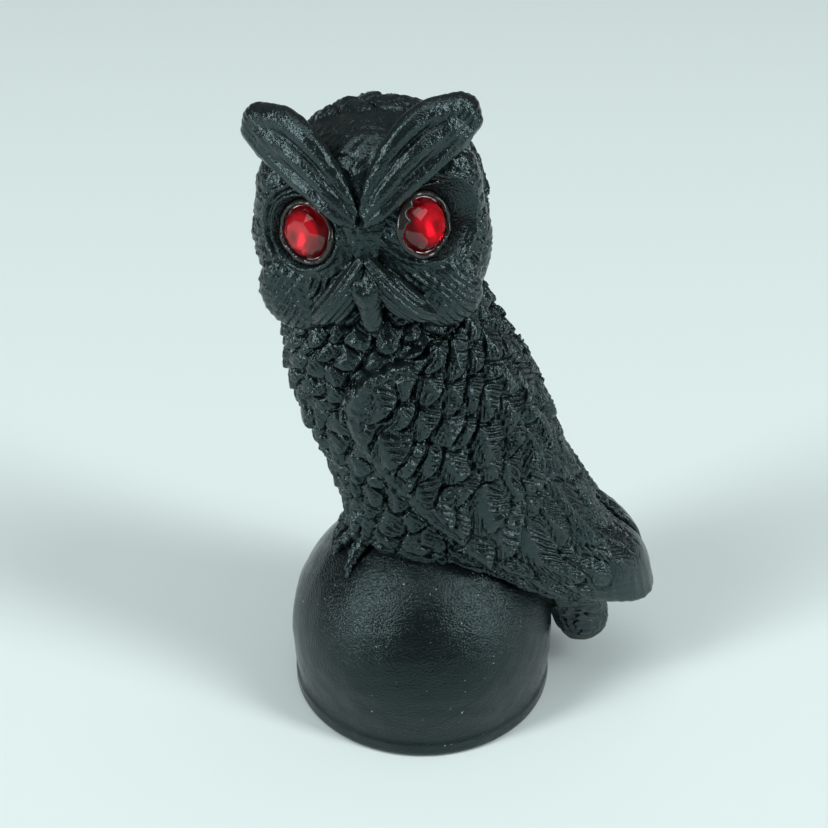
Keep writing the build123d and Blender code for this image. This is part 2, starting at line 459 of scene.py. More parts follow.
def feet_shell(b, side):
    q = np.stack([b[:, 0], b[:, 1] * side, b[:, 2]], 1)
    d = egg(q, (6.2, 3.6, 31.6), (2.6, 2.4, 2.6))
    for toe in _toes:
        d = blend_min(d, tube(q, toe), 0.4)
    return d


def foot_form(side):
    def form(p):
        b = in_bird(p)
        return off_dome(p, feet_shell(b, side) - 0.16 * wander(p, 1.3, 54) - 0.08 * wander(p, 0.7, 55))

    def rough(p):
        return off_dome(p, feet_shell(in_bird(p), side))

    return rough, form


# ---------------------------------------------------------------- head
def folded(h):
    """The same point on the owl's left half of the head."""
    return np.stack([np.abs(h[:, 0]), h[:, 1], h[:, 2]], 1)


def skull_shell(h):
    d = egg(h, (0, 2.4, 0.2), (14.3, 13.0, 14.0))
    return blend_min(d, egg(h, (0, -3.3, 5.4), (7.6, 8.3, 8.4)), 2.0)


def off_skull(h, d, lap):
    """Take away what lies deeper than `lap` inside the skull."""
    return np.maximum(d, -(skull_shell(h) + lap))


def one_half(h, side, d):
    """Keep only the owl's left (1) or right (-1) half of a form on the head."""
    return np.maximum(d, MIDLINE_GAP - h[:, 0] * side)


def skull_form(p):
    h = in_head(p)
    over = np.arctan2(h[:, 2] - 0.2, -(h[:, 1] - 2.4))
    over = np.where(over < -np.pi / 2, over + 2 * np.pi, over)
    u = over * SKULL_GIRTH + 0.6 * wander(p, 7, 71)
    v = SKULL_GIRTH * np.arcsin(np.clip(h[:, 0] / 15, -1, 1)) + 0.5 * wander(p, 7, 72)
    scallops = feathers(u, v, 73, **CROWN)
    behind = ramp(18.2, 19.6, u - 0.25 * np.abs(h[:, 0]))
    brow = 0.35 * np.cos(2 * np.pi * (h[:, 0] + 0.6 * wander(p, 6, 74)) / 2.6) * ramp(14.5, 11, h[:, 2])
    rough = 0.05 * wander(p, 0.8, 75) + 0.06 * wander(p, 1.5, 76)
    forehead = (brow * 0.3 + rough) * (1 - behind) * ramp(0, -4, h[:, 1])
    relief = scallops * behind + forehead + 0.05 * wander(p, 1.3, 77)
    return skull_shell(h) + 0.3 * behind - relief


def skull_rough(p):
    return skull_shell(in_head(p))


DISC_CENTRE = {1: (7.9, -6.8, -2.3), -1: (8.5, -6.6, -2.4)}
DISC_RADII = {1: (8.5, 4.6, 11.0), -1: (9.3, 4.6, 11.4)}
DISC_TURN = math.radians(27.0)
CHEEK_CENTRE = {1: (8.6, -8.6, -7.8), -1: (9.8, -8.2, -7.6)}
CHEEK_RADII = {1: (5.9, 3.5, 6.0), -1: (6.4, 3.5, 6.4)}


def disc_shell(h, side):
    m = folded(h)
    q = turned(m, DISC_CENTRE[side], DISC_TURN)
    d = egg(q, (0, 0, 0), DISC_RADII[side])
    d = blend_min(d, egg(m, CHEEK_CENTRE[side], CHEEK_RADII[side]), 1.4)
    return blend_min(d, egg(m, (10.4, -4.8, 5.2), (4.8, 4.2, 6.2)), 1.2)


def eye_axes(side):
    """Centre, outward axis, across and upward directions of an eye."""
    s, c = math.sin(EYE_SPLAY[side]), math.cos(EYE_SPLAY[side])
    ls, lc = math.sin(EYE_LIFT), math.cos(EYE_LIFT)
    outward = np.array([side * s * lc, -c * lc, ls])
    across = np.array([c, side * s, 0])
    upward = np.array([-side * s * ls, c * ls, lc])
    return EYE_CENTRE[side], outward, across, upward


def eye_frame(h, side):
    """Distance out along the eye's axis, distance from it and angle round it."""
    centre, n, across, up = eye_axes(side)
    q = h - centre
    x, y = q @ across * side, q @ up
    return q @ n, np.sqrt(x**2 + y**2), np.arctan2(y, x)


def eye_socket(h, side):
    """The seat cut for a stone: a flat floor and a slightly flaring wall."""
    out, around, _ = eye_frame(h, side)
    return np.maximum(around - 4.2 - 0.6 * np.maximum(out, 0), -0.42 - out)


# bristle tufts either side of the beak
_moustache = bend(
    [(0.7, -13.1, -1.8), (3.0, -13.5, -5.2), (5.8, -12.9, -8.4), (8.3, -11.4, -10.8)],
    [0.9, 1.8, 1.8, 0.5])
_moustache_low = bend([(1.6, -12.4, -4.6), (3.4, -12.5, -7.8), (5.2, -11.7, -10.6)], [0.9, 1.5, 0.6])


def wavelets(distance, pitch):
    """Evenly spaced ridges and furrows, one every `pitch` mm."""
    return np.cos(2 * np.pi * distance / pitch)


def raised_line(distance, at, width):
    return np.exp(-(((distance - at) / width) ** 2))


def face_relief(p, m, side, rho, around, angle):
    """Strands and folds of a facial disc: rho runs to 1 at its rim, around and angle go round the eye."""
    raked = 0.75 * m[:, 0] + 0.65 * m[:, 2] + 0.35 * wander(p, 6, 85 + side)
    combed = 0.16 * wavelets(raked, 1.0) * ramp(5.4, 6.4, around) * ramp(-2.0, -4.5, m[:, 2])
    combed = combed * (0.35 + 0.65 * ramp(-0.6, 0.8, wander(p, 4, 88))) * ramp(0.98, 0.8, rho)
    spokes = feathers(around - 6.0, angle * 6.5 + 0.5 * wander(p, 5, 81 + side), 89, **FACE_SPOKES)
    spokes = 0.45 * spokes * ramp(6.3, 7.2, around) * ramp(-6.0, -3.0, m[:, 2])
    spokes = spokes * (0.25 + 0.75 * ramp(1.02, 0.84, rho))
    eye_rim = 0.34 * raised_line(around, 4.95, 0.35)
    outer_side = ramp(-0.2, 0.6, np.cos(angle - 0.2))
    fold = 0.4 * raised_line(around, 6.5, 0.4) - 0.35 * raised_line(around, 5.8, 0.35)
    relief = combed + spokes + eye_rim + outer_side * fold
    return relief + 0.07 * wander(p, 1.2, 83) + 0.04 * wander(p, 0.7, 84)


def disc_form(side):
    def rough(p):
        h = in_head(p)
        d = blend_min(disc_shell(h, side), tube(folded(h), _moustache), 0.6)
        d = np.maximum(d, -eye_socket(h, side))
        return one_half(h, side, d)

    def form(p):
        h = in_head(p)
        m = folded(h)
        q = turned(m, DISC_CENTRE[side], DISC_TURN)
        radii = DISC_RADII[side]
        rho = np.sqrt((q[:, 0] / radii[0]) ** 2 + (q[:, 2] / radii[2]) ** 2)
        _, around, angle = eye_frame(h, side)
        relief = face_relief(p, m, side, rho, around, angle)
        d = disc_shell(h, side) + 0.15 - relief * ramp(-3.0, 0.0, -q[:, 1])
        strands = 0.13 * wavelets(0.76 * m[:, 0] + 0.65 * m[:, 2], 0.85)
        leaf = blend_min(tube(m, _moustache), tube(m, _moustache_low), 0.3) - strands
        d = blend_min(d, leaf, 0.35)
        d = np.maximum(d, -eye_socket(h, side))
        return one_half(h, side, off_skull(h, d, SKULL_LAP))

    return rough, form


# the three ridges of a horn plume, from the brow up to the horn's tip
_plume_high = bend(
    [(0.4, -12.6, 5.0), (1.7, -12.2, 8.2), (3.7, -11.0, 11.4),
     (6.2, -9.4, 14.3), (9.2, -7.2, 15.8), (12.8, -5.0, 15.7)],
    [0.5, 0.9, 1.25, 1.55, 1.8, 1.9], 8)
_plume_mid = bend(
    [(1.0, -12.9, 4.6), (3.2, -12.6, 7.4), (5.6, -11.2, 10.0),
     (8.2, -9.4, 12.2), (11.0, -7.1, 13.6), (13.8, -5.0, 14.6)],
    [0.6, 0.95, 1.2, 1.4, 1.5, 1.4], 8)
_plume_low = bend(
    [(0.9, -12.9, 3.6), (3.2, -12.9, 5.2), (6.0, -11.4, 7.4),
     (9.0, -9.2, 9.4), (12.2, -6.8, 11.6), (14.6, -4.9, 13.8)],
    [0.6, 0.9, 1.0, 1.2, 1.35, 1.3], 8)


def plume_shell(h):
    m = folded(h)
    d = blend_min(tube(m, _plume_high), tube(m, _plume_mid), 0.5)
    d = blend_min(d, tube(m, _plume_low), 0.5)
    core = rod(m, (3.0, -10.2, 7.4), (11.0, -5.4, 13.0), 2.2, 3.1)
    d = blend_min(d, core, 0.7)
    return blend_min(d, egg(m, (13.4, -4.4, 15.0), (2.2, 2.2, 2.2)), 0.6)


def plume_form(side):
    def rough(p):
        h = in_head(p)
        return one_half(h, side, plume_shell(h))

    def form(p):
        h = in_head(p)
        m = folded(h)
        across = 0.62 * m[:, 0] - 0.78 * m[:, 2] + 0.3 * wander(p, 9, 91)
        lines = 0.03 * wavelets(across, 0.9)
        d = plume_shell(h) - lines - 0.03 * wander(p, 1.6, 92) - 0.02 * wander(p, 0.7, 93)
        return one_half(h, side, off_skull(h, d, PLUME_LAP))

    return rough, form


def beak_shell(h):
    m = folded(h)
    d = rod(h, (0, -11.6, -2.4), (0, -13.6, -6.0), 1.3, 1.9)
    d = blend_min(d, rod(h, (0, -13.6, -6.0), (0, -13.0, -10.6), 1.8, 1.25), 0.6)
    d = blend_min(d, rod(h, (0, -13.0, -10.2), (0, -12.3, -12.8), 1.2, 0.45), 0.5)
    d = blend_min(d, egg(m, (1.2, -14.2, -4.9), (0.9, 1.1, 1.5)), 0.5)
    flare = m[:, 0] - 1.4 - 0.42 * (h[:, 2] + 3.5)
    bridge = blend_max(egg(h, (0, -9.0, 0.6), (5.2, 3.4, 6.0)), flare, 1.8)
    return blend_min(d, bridge, 1.0)


def beak_trimmed(h, d):
    d = np.maximum(d, -np.minimum(eye_socket(h, 1), eye_socket(h, -1)))
    return off_skull(h, d, SKULL_LAP)


def beak_form(p):
    h = in_head(p)
    return beak_trimmed(h, beak_shell(h) - 0.05 * wander(p, 1.1, 95) - 0.03 * wander(p, 0.7, 96))


def beak_rough(p):
    h = in_head(p)
    return beak_trimmed(h, beak_shell(h))


# ---------------------------------------------------------------- skinning
# points to a side in a block and in a cell, and the most points worked out at once
BLOCK, CELL = 8, 2
REACH_MARGIN = 1.05
LOT = 400000


def sample(rough, fine, low, high, pitch, reach):
    """Signed distances on a block of points, worked out finely only near the skin."""
    step, part = BLOCK, CELL
    blocks = np.ceil((np.asarray(high) - low) / pitch / step).astype(int)
    low = np.asarray(low, float)
    gi = np.indices(blocks).reshape(3, -1).T
    far = rough(low + (gi * step + 3.5) * pitch).astype(np.float32)
    values = far.reshape(blocks)
    for axis in range(3):
        values = np.repeat(values, step, axis)
    near = gi[np.abs(far) < step * pitch * REACH_MARGIN + reach] * step
    sub = np.indices((step // part,) * 3).reshape(3, -1).T * part
    cells = (near[:, None] + sub[None]).reshape(-1, 3)
    mid = rough(low + (cells + 0.5) * pitch).astype(np.float32)
    corner = np.indices((part,) * 3).reshape(3, -1).T
    nodes = (cells[:, None] + corner[None]).reshape(-1, 3)
    values[tuple(nodes.T)] = np.repeat(mid, len(corner))
    close = cells[np.abs(mid) < part * pitch * REACH_MARGIN + reach]
    nodes = (close[:, None] + corner[None]).reshape(-1, 3)
    for lot in np.array_split(nodes, max(1, len(nodes) // LOT)):
        values[tuple(lot.T)] = fine(low + lot * pitch)
    return values


def skin(values, low, pitch):
    """A closed mesh of quads round the inside of a block of distances."""
    inside = values < 0
    some = np.zeros(np.array(values.shape) - 1, bool)
    every = np.ones_like(some)
    nx, ny, nz = some.shape
    corners = np.array([(i, j, k) for i in (0, 1) for j in (0, 1) for k in (0, 1)])
    for i, j, k in corners:
        part = inside[i:i + nx, j:j + ny, k:k + nz]
        some |= part
        every &= part
    cells = np.argwhere(some & ~every)
    number = np.full(some.shape, -1, np.int64)
    number[tuple(cells.T)] = np.arange(len(cells))
    at = [values[tuple((cells + c).T)] for c in corners]
    total = np.zeros((len(cells), 3))
    count = np.zeros(len(cells))
    for a in range(8):
        for b in range(a + 1, 8):
            if np.abs(corners[a] - corners[b]).sum() != 1:
                continue
            cross = (at[a] < 0) != (at[b] < 0)
            t = np.where(cross, at[a] / np.where(cross, at[a] - at[b], 1), 0)
            total += np.where(cross[:, None], corners[a] + t[:, None] * (corners[b] - corners[a]), 0)
            count += cross
    points = low + (cells + total / count[:, None]) * pitch
    quads = []
    for axis in range(3):
        one, two = (axis + 1) % 3, (axis + 2) % 3
        lead = [slice(1, -1)] * 3
        lead[axis] = slice(0, -1)
        after = list(lead)
        after[axis] = slice(1, None)
        here, there = inside[tuple(lead)], inside[tuple(after)]
        found = np.argwhere(here != there)
        found[:, one] += 1
        found[:, two] += 1
        e1, e2 = np.eye(3, dtype=int)[one], np.eye(3, dtype=int)[two]
        ring = [found - e1 - e2, found - e2, found, found - e1]
        quad = np.stack([number[tuple(c.T)] for c in ring], 1)
        flip = ~inside[tuple(found.T)]
        quad[flip] = quad[flip][:, ::-1]
        quads.append(quad)
    return points, np.vstack(quads)


def largest_part(points, quads):
    """Keep only the biggest joined-up skin, and drop stray crumbs."""
    label = np.arange(len(points))
    a = quads.ravel()
    b = np.roll(quads, -1, 1).ravel()
    while True:
        new = label.copy()
        np.minimum.at(new, a, label[b])
        np.minimum.at(new, b, label[a])
        new = new[new]
        if (new == label).all():
            break
        label = new
    names, sizes = np.unique(label, return_counts=True)
    keep = label == names[sizes.argmax()]
    index = np.cumsum(keep) - 1
    return points[keep], index[quads[keep[quads[:, 0]]]]


def settle(points, form, pitch):
    """Pull each point of the skin onto the form, by less than half the pitch."""
    nudge, least_slope, furthest = 0.3 * pitch, 0.25, 0.45 * pitch
    d = form(points)
    grad = np.stack([form(points + nudge * axis) - d for axis in np.eye(3)], 1) / nudge
    size = np.maximum((grad**2).sum(1), least_slope)
    shift = -(d / size)[:, None] * grad
    length = np.linalg.norm(shift, axis=1)
    limit = np.minimum(1, furthest / np.maximum(length, 1e-9))
    return points + shift * limit[:, None]


# passes that smooth the skin, and how far each pass pulls a point towards its neighbours
SMOOTHING_PASSES = 10
SMOOTHING_PULL = 0.6
# depth of a full hollow or height of a full ridge, in mm
HOLLOW_DEPTH = 0.1


def hollows(points, quads):
    """How far each point sits in a hollow (positive) or on a ridge (negative)."""
    a = quads.ravel()
    b = np.roll(quads, -1, 1).ravel()
    degree = np.bincount(a, minlength=len(points)) + np.bincount(b, minlength=len(points)).astype(float)
    edge1 = points[quads[:, 2]] - points[quads[:, 0]]
    edge2 = points[quads[:, 3]] - points[quads[:, 1]]
    facing = np.cross(edge1, edge2)
    normal = np.zeros_like(points)
    for c in range(4):
        for k in range(3):
            normal[:, k] += np.bincount(quads[:, c], facing[:, k], len(points))
    normal /= np.linalg.norm(normal, axis=1)[:, None] + 1e-12
    smooth = points.copy()
    for _ in range(SMOOTHING_PASSES):
        for k in range(3):
            pull = np.bincount(a, smooth[b, k], len(points)) + np.bincount(b, smooth[a, k], len(points))
            smooth[:, k] = (1 - SMOOTHING_PULL) * smooth[:, k] + SMOOTHING_PULL * pull / degree
    return ((smooth - points) * normal).sum(1)


def finish_piece(name, mesh, node, material, smooth=True):
    """Put a mesh on the owl in place of its plain solid."""
    mesh.polygons.foreach_set("use_smooth", [smooth] * len(mesh.polygons))
    mesh.materials.append(material)
    piece = bpy.data.objects.new(name, mesh)
    bpy.context.collection.objects.link(piece)
    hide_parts(node)
    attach(piece, "root")


def quad_mesh(name, points, quads):
    mesh = bpy.data.meshes.new(name)
    mesh.vertices.add(len(points))
    mesh.vertices.foreach_set("co", (points * MM).ravel())
    mesh.loops.add(quads.size)
    mesh.loops.foreach_set("vertex_index", quads.ravel().astype(np.int32))
    mesh.polygons.add(len(quads))
    mesh.polygons.foreach_set("loop_start", np.arange(0, quads.size, quads.shape[1], dtype=np.int32))
    mesh.update(calc_edges=True)
    mesh.validate()
    return mesh


def sculpt(name, node, form_pair, box, pitch, reach):
    """Skin a sculpted form. `reach` is how far its relief stands off the plain form, in mm."""
    rough, form = form_pair
    low, high = box
    values = sample(rough, form, low, high, pitch, reach)
    points, quads = skin(values, low, pitch)
    points, quads = largest_part(points, quads)
    points = settle(points, form, pitch)
    mesh = quad_mesh(name, points, quads)
    depth = mesh.attributes.new("hollow", "FLOAT", "POINT")
    depth.data.foreach_set("value", hollows(points, quads).astype(np.float32))
    finish_piece(name, mesh, node, feathered_black)


def box_round(place, corner, opposite):
    """Limits of a box given by two opposite corners in the bird's or the head's own directions."""
    spans = [(a, b) for a, b in zip(corner, opposite)]
    corners = np.array([place(a, b, c) for a in spans[0] for b in spans[1] for c in spans[2]])
    return corners.min(0) - BOX_MARGIN, corners.max(0) + BOX_MARGIN


# ---------------------------------------------------------------- finishes
def new_material(name):
    material = bpy.data.materials.new(name)
    material.use_nodes = True
    nodes = material.node_tree.nodes
    return material, nodes, material.node_tree.links, nodes["Principled BSDF"]


def noise(nodes, links, where, scale, detail):
    texture = nodes.new("ShaderNodeTexNoise")
    texture.inputs["Scale"].default_value = scale
    texture.inputs["Detail"].default_value = detail
    links.new(where.outputs["Object"], texture.inputs["Vector"])
    return texture


def span(nodes, links, source, socket, to_low=0.0, to_high=1.0, from_low=0.0, from_high=1.0):
    """Let a value drive a socket between two limits."""
    stretch = nodes.new("ShaderNodeMapRange")
    stretch.inputs["From Min"].default_value = from_low
    stretch.inputs["From Max"].default_value = from_high
    stretch.inputs["To Min"].default_value = to_low
    stretch.inputs["To Max"].default_value = to_high
    links.new(source, stretch.inputs["Value"])
    if socket:
        links.new(stretch.outputs["Result"], socket)
    return stretch.outputs["Result"]


def tint(nodes, links, amount, first, second):
    """A colour that runs from the first, or from one linked later, to the second with an amount."""
    mix = nodes.new("ShaderNodeMix")
    mix.data_type = "RGBA"
    if first:
        mix.inputs["A"].default_value = (*first, 1)
    mix.inputs["B"].default_value = (*second, 1)
    links.new(amount, mix.inputs["Factor"])
    return mix


def dents(nodes, links, height, shade, strength, depth):
    bump = nodes.new("ShaderNodeBump")
    bump.inputs["Strength"].default_value = strength
    bump.inputs["Distance"].default_value = depth
    links.new(height, bump.inputs["Height"])
    links.new(bump.outputs["Normal"], shade.inputs["Normal"])


def cast_grain_group():
    """Fine mineral grain, broad faint mottling and stray dust, shared by every finish."""
    group = bpy.data.node_groups.new("cast_grain", "ShaderNodeTree")
    face = group.interface
    size = face.new_socket("Grain size", in_out="INPUT", socket_type="NodeSocketFloat")
    size.default_value = 3000.0
    for name in ("Height", "Mottle", "Dust"):
        face.new_socket(name, in_out="OUTPUT", socket_type="NodeSocketFloat")
    nodes, links = group.nodes, group.links
    enter, leave = nodes.new("NodeGroupInput"), nodes.new("NodeGroupOutput")
    where = nodes.new("ShaderNodeTexCoord")
    fine = noise(nodes, links, where, 3000.0, 1.5)
    fine.inputs["Roughness"].default_value = 0.65
    links.new(enter.outputs["Grain size"], fine.inputs["Scale"])
    broad = noise(nodes, links, where, 160.0, 4.0)
    lint = noise(nodes, links, where, 1500.0, 1.0)
    links.new(fine.outputs["Fac"], leave.inputs["Height"])
    links.new(broad.outputs["Fac"], leave.inputs["Mottle"])
    span(nodes, links, lint.outputs["Fac"], leave.inputs["Dust"], from_low=0.77, from_high=0.79)
    return group


def add_grain(nodes, group, size):
    grain = nodes.new("ShaderNodeGroup")
    grain.node_tree = group
    grain.inputs["Grain size"].default_value = size
    return grain


def black_cast(name, group, grain_size, bump, gloss, shine, dust):
    """Black casting: rubbed glossy on its ridges and duller in its hollows, with painted shade that
    darkens its hollows and lightens its ridges, and stray dust.
    """
    material, nodes, links, shade = new_material(name)
    shade.inputs["Specular IOR Level"].default_value = shine
    # painted reflection colour: the teal specular tint, and the teal cast of the black base colours, stand
    # in for the cool studio light
    shade.inputs["Specular Tint"].default_value = (0.66, 0.95, 1.0, 1)
    grain = add_grain(nodes, group, grain_size)
    depth = nodes.new("ShaderNodeAttribute")
    depth.attribute_name = "hollow"
    sunk = span(nodes, links, depth.outputs["Fac"], None, from_low=-HOLLOW_DEPTH, from_high=HOLLOW_DEPTH)
    # painted shade: the base colour runs from a lighter black on the ridges to a darker black in the
    # hollows
    tone = tint(nodes, links, sunk, (0.007, 0.0108, 0.0108), (0.002, 0.003, 0.003))
    speck = nodes.new("ShaderNodeMath")
    speck.operation = "MULTIPLY"
    speck.inputs[1].default_value = dust
    links.new(grain.outputs["Dust"], speck.inputs[0])
    dust_over_painted_shade = tint(nodes, links, speck.outputs["Value"], None, (0.22, 0.25, 0.25))
    links.new(tone.outputs["Result"], dust_over_painted_shade.inputs["A"])
    links.new(dust_over_painted_shade.outputs["Result"], shade.inputs["Base Color"])
    polish = span(nodes, links, grain.outputs["Mottle"], None, gloss - 0.1, gloss + 0.1)
    dull = nodes.new("ShaderNodeMath")
    dull.operation = "MULTIPLY_ADD"
    dull.inputs[1].default_value = 0.14
    links.new(sunk, dull.inputs[0])
    links.new(polish, dull.inputs[2])
    links.new(dull.outputs["Value"], shade.inputs["Roughness"])
    dents(nodes, links, grain.outputs["Height"], shade, bump, 0.00014)
    return material


def red_glass(group):
    """Ruby glass, a little cloudy in places and faintly scuffed."""
    material, nodes, links, shade = new_material("red_stone_glass")
    grain = add_grain(nodes, group, 900.0)
    ruby = tint(nodes, links, grain.outputs["Mottle"], (0.84, 0.003, 0.014), (0.97, 0.006, 0.024))
    links.new(ruby.outputs["Result"], shade.inputs["Base Color"])
    span(nodes, links, grain.outputs["Mottle"], shade.inputs["Roughness"], 0.0, 0.05)
    shade.inputs["IOR"].default_value = 1.56
    shade.inputs["Transmission Weight"].default_value = 1.0
    return material


def silver_foil(group):
    material, nodes, links, shade = new_material("silver_foil")
    grain = add_grain(nodes, group, 1400.0)
    silver = tint(nodes, links, grain.outputs["Mottle"], (0.80, 0.73, 0.70), (1.0, 0.94, 0.92))
    links.new(silver.outputs["Result"], shade.inputs["Base Color"])
    shade.inputs["Metallic"].default_value = 1.0
    span(nodes, links, grain.outputs["Mottle"], shade.inputs["Roughness"], 0.26, 0.42)
    return material


def dark_glue(group):
    material, nodes, links, shade = new_material("dark_glue")
    grain = add_grain(nodes, group, 1600.0)
    resin = tint(nodes, links, grain.outputs["Mottle"], (0.006, 0.006, 0.006), (0.026, 0.024, 0.022))
    links.new(resin.outputs["Result"], shade.inputs["Base Color"])
    span(nodes, links, grain.outputs["Mottle"], shade.inputs["Roughness"], 0.05, 0.3)
    dents(nodes, links, grain.outputs["Height"], shade, 0.4, 0.0001)
    return material


grain = cast_grain_group()
feathered_black = black_cast("feathered_black_cast", grain, 3000.0, 0.9, gloss=0.12, shine=0.56, dust=0.25)
dome_black = black_cast("dome_black_cast", grain, 3400.0, 1.0, gloss=0.07, shine=0.36, dust=1.0)
glass, metal, glue_black = red_glass(grain), silver_foil(grain), dark_glue(grain)

# ---------------------------------------------------------------- build the casting
trunk_box = box_round(from_bird, (22, -15, 78), (-35, 15, 17))
sculpt("trunk_feathers", "trunk", (trunk_rough, trunk_form), trunk_box, FINE * 1.05, 1.1)

for side, word in ((1, "left"), (-1, "right")):
    wing_box = box_round(from_bird, (14, side, 76), (-38, 17 * side, 18))
    sculpt(f"{word}_wing_feathers", f"{word}_wing", wing_form(side), wing_box, FINE, 1.1)
    foot_box = box_round(from_bird, (1, 0, 22), (18, 15 * side, 36))
    sculpt(f"{word}_toes", f"{word}_foot", foot_form(side), foot_box, FINE * 0.7, 0.4)

tail_box = box_round(from_bird, (-14, -7, 5), (-33, 7, 31))
sculpt("tail_feathers", "tail", (tail_rough, tail_form), tail_box, FINE * 0.65, 1.2)

skull_box = box_round(from_head, (-16, -14, -16), (16, 17, 16))
sculpt("crown_and_nape", "skull", (skull_rough, skull_form), skull_box, FINE * 0.95, 1.2)
beak_ends = np.array([from_head(-5, -17, -15), from_head(5, -5, 8)])
beak_box = beak_ends.min(0) - BOX_MARGIN, beak_ends.max(0) + BOX_MARGIN
sculpt("beak_and_bridge", "beak", (beak_rough, beak_form), beak_box, FINE * 0.6, 0.3)
for side, word in ((1, "left"), (-1, "right")):
    disc_box = box_round(from_head, (0, -15, -15), (19 * side, 3, 11))
    sculpt(f"{word}_face_feathers", f"{word}_facial_disc", disc_form(side), disc_box, FINE * 0.75, 1.2)
    plume_box = box_round(from_head, (0, -15, 3), (17 * side, 0, 20))
    sculpt(f"{word}_horn_plume", f"{word}_brow_plume", plume_form(side), plume_box, FINE * 0.75, 0.6)


# ---------------------------------------------------------------- domed stand
def lathe_mesh(name, profile, segments, lift=None):
    """Turn a profile of radius and height into a closed mesh; its ends lie on the axis."""
    turn = np.linspace(0, 2 * np.pi, segments, endpoint=False)
    level = np.ones(segments)
    rings = [np.stack([r * np.cos(turn), r * np.sin(turn), z * level], 1) for r, z in profile[1:-1]]
    points = np.vstack([[[0, 0, profile[0][1]]], *rings, [[0, 0, profile[-1][1]]]])
    faces = []
    last = 1 + (len(rings) - 1) * segments
    for s in range(segments):
        t = (s + 1) % segments
        faces.append((0, 1 + t, 1 + s))
        for a in range(1, last, segments):
            b = a + segments
            faces.append((a + s, a + t, b + t, b + s))
        faces.append((last + s, last + t, len(points) - 1))
    if lift:
        points = points + lift(points)
    mesh = bpy.data.meshes.new(name)
    mesh.from_pydata((points * MM).tolist(), [], faces)
    return mesh


def cast_unevenness(points):
    """Slight waves in the dome's wall; the resting edge stays true."""
    out = points - DOME_CENTRE
    out /= np.linalg.norm(out, axis=1)[:, None]
    height = 0.05 * wander(points, 6, 5) + 0.03 * wander(points, 2.5, 6)
    return out * (height * ramp(0.2, 1.5, points[:, 2]))[:, None]


def dome_profile():
    """Flat underside, rounded resting edge, foot band, then the wall rising into the dome."""
    profile = [(0, 0), (6, 0), (12, 0), (17, 0), (20.1, 0.0), (20.45, 0.12), (20.7, 0.4)]
    profile += [(FOOT_BAND_RADIUS, 0.8)]
    profile += [(FOOT_BAND_RADIUS, z) for z in np.linspace(1.2, FOOT_BAND_TOP, 4)]
    profile += [(20.74, 2.65), (20.6, WALL_START)]
    rise, widening = DOME_CENTRE[2] - WALL_START, DOME_RADIUS - WALL_START_RADIUS
    profile += [(WALL_START_RADIUS + widening * math.sin(t * math.pi / 2), WALL_START + rise * t)
                for t in np.linspace(0.08, 1, 16)]
    profile += [(DOME_RADIUS * math.cos(a), DOME_CENTRE[2] + DOME_RADIUS * math.sin(a))
                for a in np.linspace(0.03, math.pi / 2 - 0.02, 70)]
    return profile + [(0, DOME_CENTRE[2] + DOME_RADIUS)]


dome_mesh = lathe_mesh("dome", dome_profile(), 320, cast_unevenness)
finish_piece("dome", dome_mesh, "dome_stand", dome_black)


# ---------------------------------------------------------------- eye stones
def ring_points(radius, count, z, turn=0.0):
    angles = [turn + 2 * math.pi * k / count for k in range(count)]
    return [(radius * math.cos(a), radius * math.sin(a), z) for a in angles]


# where dried glue has crept over a stone's edge: angle, spread (degrees) and reach (mm)
GLUE_SMEARS = {
    1: [(155, 17, 0.6), (122, 10, 0.3), (12, 16, 0.25), (300, 14, 0.25)],
    -1: [(238, 22, 0.4), (200, 12, 0.25)],
}
STONE_TURN = {1: 0.12, -1: 0.3}
STONE_FACETS = 16
TABLE_SIDES = 8
STONE_RADIUS = 3.6
# a foil cup: its floor is bonded to the stone's flat back and its wall laps the girdle
FOIL_CUP = [(0, -0.14), (3.72, -0.14), (3.72, 0.32), (3.48, 0.32), (3.46, 0.02), (0, 0.02)]
GLUE_RING_RADIUS = 4.03
GLUE_RING_HEIGHT = 0.42
# waves round the glue bead: how many, and how high
GLUE_WAVES = [(3, 0.14), (7, 0.1), (13, 0.06)]
GLUE_STEPS = 144
GLUE_SECTION = 16


def place_eye(mesh, side):
    """Move a mesh made round the z axis into its eye socket."""
    centre, outward, across, upward = eye_axes(side)
    basis = np.stack([HEAD_X, [0, 1, 0], HEAD_Z], 1)
    turn = basis @ np.stack([across, upward, outward], 1)
    whole = Matrix(turn.tolist()).to_4x4()
    whole.translation = Vector((HEAD_CENTRE + basis @ centre) * MM)
    mesh.transform(whole)


def stone_mesh(name, turn):
    """A flat-backed stone: girdle, a row of steep facets, a row of shallow ones and a table."""
    points = ring_points(STONE_RADIUS - 0.1, STONE_FACETS, 0.0, turn)
    points += ring_points(STONE_RADIUS, STONE_FACETS, 0.12, turn)
    points += ring_points(STONE_RADIUS, STONE_FACETS, 0.42, turn)
    points += ring_points(2.95, STONE_FACETS, 1.35, turn + math.pi / STONE_FACETS)
    points += ring_points(2.0, TABLE_SIDES, 2.25, turn)
    shape = bmesh.new()
    for point in points:
        shape.verts.new([c * MM for c in point])
    bmesh.ops.convex_hull(shape, input=shape.verts)
    bmesh.ops.dissolve_limit(shape, angle_limit=0.01, verts=shape.verts, edges=shape.edges)
    mesh = bpy.data.meshes.new(name)
    shape.to_mesh(mesh)
    shape.free()
    return mesh


def glue_smear(t, side, swell):
    """How far the glue reaches over the stone at angle t."""
    smear = 0.0
    for at, spread, reach in GLUE_SMEARS[side]:
        gap = (t - math.radians(at) + math.pi) % (2 * math.pi) - math.pi
        smear += reach * math.exp(-((gap / math.radians(spread)) ** 2))
    return smear * (1 + 0.35 * math.sin(11 * t + swell))


